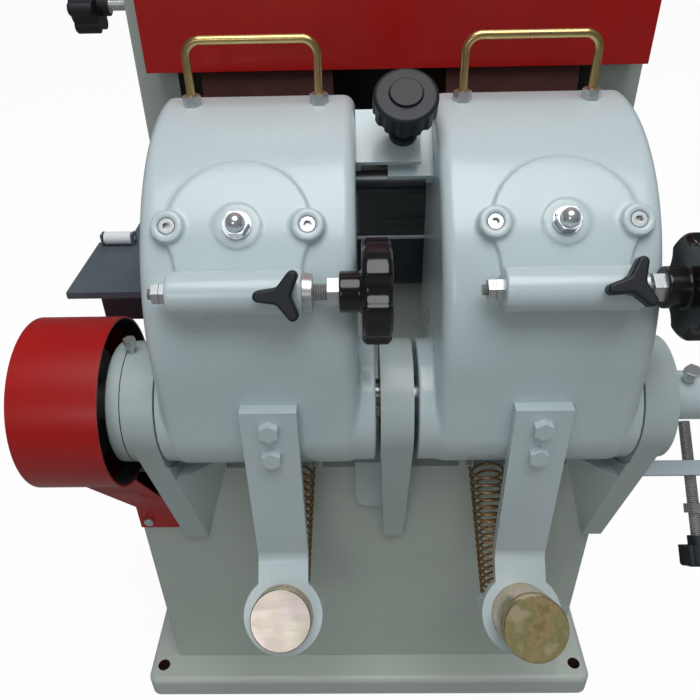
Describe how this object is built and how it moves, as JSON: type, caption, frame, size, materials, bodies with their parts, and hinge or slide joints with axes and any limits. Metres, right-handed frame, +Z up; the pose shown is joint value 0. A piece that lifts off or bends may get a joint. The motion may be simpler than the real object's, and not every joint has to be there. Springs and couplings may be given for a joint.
{
  "type": "cylindrical belt sander",
  "caption": "Floor-standing cylindrical belt sander: tilting feed heads on a common shaft press round stock against sanding belts under a sheet hood, on a cabinet base.",
  "frame": {"origin": "on the floor, at the centre of the base's anchor hole pattern", "axes": "+X along the work from infeed to outfeed, +Y to the back, +Z up"},
  "size_m": [0.7025, 0.7387, 1.184],
  "materials": {
    "grey_enamel": "gloss hammer-smooth enamel",
    "head_enamel": "gloss enamel over a casting",
    "red_enamel": "gloss enamel on sheet steel",
    "black_enamel": "satin black enamel",
    "motor_enamel": "satin enamel",
    "bright_steel": "ground steel",
    "zinc_steel": "zinc plated",
    "yellow_zinc": "yellow passivated zinc plating on steel",
    "chrome": "polished chrome",
    "spring_bronze": "bronze-toned spring wire",
    "chain_steel": "oiled steel",
    "cast_iron": "machined cast iron",
    "roller_metal": "turned aluminium",
    "wheel_rubber": "matt rubber",
    "belt_rubber": "matt rubber",
    "abrasive_cloth": "aluminium oxide grit on cloth",
    "black_plastic": "moulded black plastic",
    "white_nylon": "white nylon"
  },
  "bodies": {
    "frame": {"base_plate": "grey_enamel", "cabinet": "grey_enamel", "rear_panel": "grey_enamel", "cover_screws": "zinc_steel", "bracket_left": "grey_enamel", "bracket_middle": "grey_enamel", "bracket_right": "grey_enamel", "bearing_cap": "grey_enamel", "lock_bolts": "zinc_steel", "belt_guard": "red_enamel", "feed_motor": "motor_enamel", "drive_belts": "belt_rubber", "infeed_table": "black_enamel", "work_rest": "bright_steel", "belt_frame": "grey_enamel", "belt_hood": "red_enamel", "sanding_motor": "motor_enamel", "sanding_belts": "abrasive_cloth", "stub_tube": "grey_enamel", "support_arm": "grey_enamel", "press_spring_left": "spring_bronze", "press_spring_right": "spring_bronze"},
    "shaft": {"drive_shaft": "bright_steel", "shaft_pulley": "cast_iron"},
    "feed_rotor": {"feed_motor_pulley": "cast_iron"},
    "contact": {"contact_roller": "roller_metal"},
    "tension": {"tension_roller": "roller_metal"},
    "sanding_rotor": {"sanding_motor_pulley": "cast_iron"},
    "guide": {"guide_roller": "white_nylon"},
    "tracking": {"tracking_knob": "black_plastic"},
    "support": {"support_knob": "black_plastic"},
    "link": {"link_knob": "black_plastic"},
    "head_left": {"head_housing_left": "head_enamel", "cover_plate_left": "head_enamel", "head_screws_left": "head_enamel", "lift_handle_left": "yellow_zinc", "press_lever_left": "head_enamel", "link_bracket_left": "head_enamel", "feed_chain_left": "chain_steel"},
    "yoke_left": {"wheel_yoke_left": "cast_iron", "swivel_nut_left": "chrome"},
    "wheel_left": {"feed_wheel_left": "wheel_rubber"},
    "weight_left": {"counterweight_left": "yellow_zinc"},
    "hand_left": {"handwheel_left": "black_plastic", "angle_screw_left": "zinc_steel"},
    "clamp_left": {"lobed_knob_left": "black_plastic"},
    "head_right": {"head_housing_right": "head_enamel", "cover_plate_right": "head_enamel", "head_screws_right": "head_enamel", "lift_handle_right": "yellow_zinc", "press_lever_right": "head_enamel", "link_bracket_right": "head_enamel", "feed_chain_right": "chain_steel"},
    "yoke_right": {"wheel_yoke_right": "cast_iron", "swivel_nut_right": "chrome"},
    "wheel_right": {"feed_wheel_right": "wheel_rubber"},
    "weight_right": {"counterweight_right": "yellow_zinc"},
    "hand_right": {"handwheel_right": "black_plastic", "angle_screw_right": "zinc_steel"},
    "clamp_right": {"lobed_knob_right": "black_plastic"}
  },
  "joints": [
    {"name": "shaft_spin", "type": "hinge", "parent": "frame", "child": "shaft", "pos_m": [0, -0.257, 0.4795], "axis": [1, 0, 0], "continuous": true},
    {"name": "feed_motor_spin", "type": "hinge", "parent": "frame", "child": "feed_rotor", "pos_m": [-0.28, -0.07, 0.3], "axis": [1, 0, 0], "continuous": true},
    {"name": "contact_spin", "type": "hinge", "parent": "frame", "child": "contact", "pos_m": [0, 0.015, 0.6], "axis": [1, 0, 0], "continuous": true},
    {"name": "tension_spin", "type": "hinge", "parent": "frame", "child": "tension", "pos_m": [0, 0.05, 1.01], "axis": [1, 0, 0], "continuous": true},
    {"name": "sanding_motor_spin", "type": "hinge", "parent": "frame", "child": "sanding_rotor", "pos_m": [0.24, 0.19, 0.505], "axis": [1, 0, 0], "continuous": true},
    {"name": "guide_roller_spin", "type": "hinge", "parent": "frame", "child": "guide", "pos_m": [-0.296, -0.037, 0.555], "axis": [1, 0, 0], "continuous": true},
    {"name": "tracking_turn", "type": "hinge", "parent": "frame", "child": "tracking", "pos_m": [-0.28, 0.015, 0.803], "axis": [1, 0, 0], "range_deg": [-360, 360]},
    {"name": "support_turn", "type": "hinge", "parent": "frame", "child": "support", "pos_m": [0.358, -0.246, 0.366], "axis": [0, -0.7431, -0.6691], "range_deg": [-360, 360]},
    {"name": "link_turn", "type": "hinge", "parent": "head_left", "child": "link", "pos_m": [0.0368, -0.1727, 0.7192], "axis": [0, -0.6018, 0.7986], "range_deg": [0, 720]},
    {"name": "head_left_swing", "type": "hinge", "parent": "frame", "child": "head_left", "pos_m": [0, -0.257, 0.4795], "axis": [1, 0, 0], "range_deg": [-14, 8], "stiffness_Nm_per_rad": 300, "deforming": ["press_spring_left"]},
    {"name": "yoke_left_swivel", "type": "hinge", "parent": "head_left", "child": "yoke_left", "pos_m": [-0.1045, -0.26887, 0.67271], "axis": [0, -0.7547, 0.6561], "range_deg": [-3.2, 3.2]},
    {"name": "wheel_left_spin", "type": "hinge", "parent": "yoke_left", "child": "wheel_left", "pos_m": [-0.1045, -0.18283, 0.59792], "axis": [1, 0, 0], "continuous": true},
    {"name": "handwheel_left_turn", "type": "hinge", "parent": "head_left", "child": "hand_left", "pos_m": [-0.1045, -0.31834, 0.64019], "axis": [1, 0, 0], "range_deg": [-720, 720]},
    {"name": "lobed_knob_left_turn", "type": "hinge", "parent": "head_left", "child": "clamp_left", "pos_m": [-0.0645, -0.31834, 0.64019], "axis": [0, -0.9063, 0.4226], "range_deg": [0, 360]},
    {"name": "weight_left_slide", "type": "slide", "parent": "head_left", "child": "weight_left", "axis": [0, -0.7314, 0.682], "range_m": [0, 0.018]},
    {"name": "head_right_swing", "type": "hinge", "parent": "frame", "child": "head_right", "pos_m": [0, -0.257, 0.4795], "axis": [1, 0, 0], "range_deg": [-14, 8], "stiffness_Nm_per_rad": 300, "deforming": ["press_spring_right"]},
    {"name": "yoke_right_swivel", "type": "hinge", "parent": "head_right", "child": "yoke_right", "pos_m": [0.166, -0.26887, 0.67271], "axis": [0, -0.7547, 0.6561], "range_deg": [-3.2, 3.2]},
    {"name": "wheel_right_spin", "type": "hinge", "parent": "yoke_right", "child": "wheel_right", "pos_m": [0.166, -0.18283, 0.59792], "axis": [1, 0, 0], "continuous": true},
    {"name": "handwheel_right_turn", "type": "hinge", "parent": "head_right", "child": "hand_right", "pos_m": [0.166, -0.31834, 0.64019], "axis": [1, 0, 0], "range_deg": [-720, 720]},
    {"name": "lobed_knob_right_turn", "type": "hinge", "parent": "head_right", "child": "clamp_right", "pos_m": [0.206, -0.31834, 0.64019], "axis": [0, -0.809, 0.5878], "range_deg": [0, 360]},
    {"name": "weight_right_slide", "type": "slide", "parent": "head_right", "child": "weight_right", "axis": [0, -0.7314, 0.682], "range_m": [-0.022, 0]}
  ],
  "couplings": [
    {"joint": "feed_motor_spin", "follows": "shaft_spin", "ratio": 1.6177},
    {"joint": "tension_spin", "follows": "contact_spin", "ratio": 1.25},
    {"joint": "sanding_motor_spin", "follows": "contact_spin", "ratio": 0.80769},
    {"joint": "head_right_swing", "follows": "head_left_swing", "ratio": 1},
    {"joint": "wheel_left_spin", "follows": "shaft_spin", "ratio": 1.2857},
    {"joint": "yoke_left_swivel", "follows": "handwheel_left_turn", "ratio": 0.004444},
    {"joint": "wheel_right_spin", "follows": "shaft_spin", "ratio": 1.2857},
    {"joint": "yoke_right_swivel", "follows": "handwheel_right_turn", "ratio": 0.004444}
  ]
}
